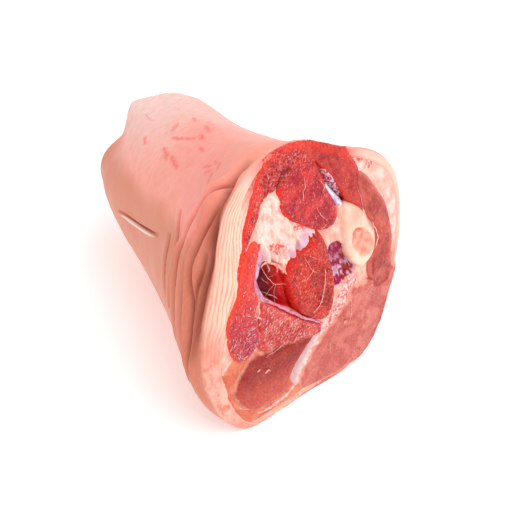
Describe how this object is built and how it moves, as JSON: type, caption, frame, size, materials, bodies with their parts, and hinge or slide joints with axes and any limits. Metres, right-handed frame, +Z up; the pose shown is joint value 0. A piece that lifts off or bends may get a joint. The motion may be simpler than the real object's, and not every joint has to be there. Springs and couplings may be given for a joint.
{
  "type": "pork hock",
  "caption": "Raw pork hock: a tapering shank with its skin on, sawn across at the narrow end and cut across at the wide end to show muscle, fat and bone.",
  "frame": {"origin": "centre of the footprint's bounding box, on the surface that the hock lies on", "axes": "+X along the shank towards the wide cut end, +Y towards the side of the shank bone, +Z up"},
  "size_m": [0.153, 0.125, 0.132],
  "materials": {
    "rind": "satin",
    "meat": "satin",
    "fat": "satin",
    "bone": "satin"
  },
  "bodies": {
    "root": {"pork_hock": "rind"}
  },
  "joints": []
}
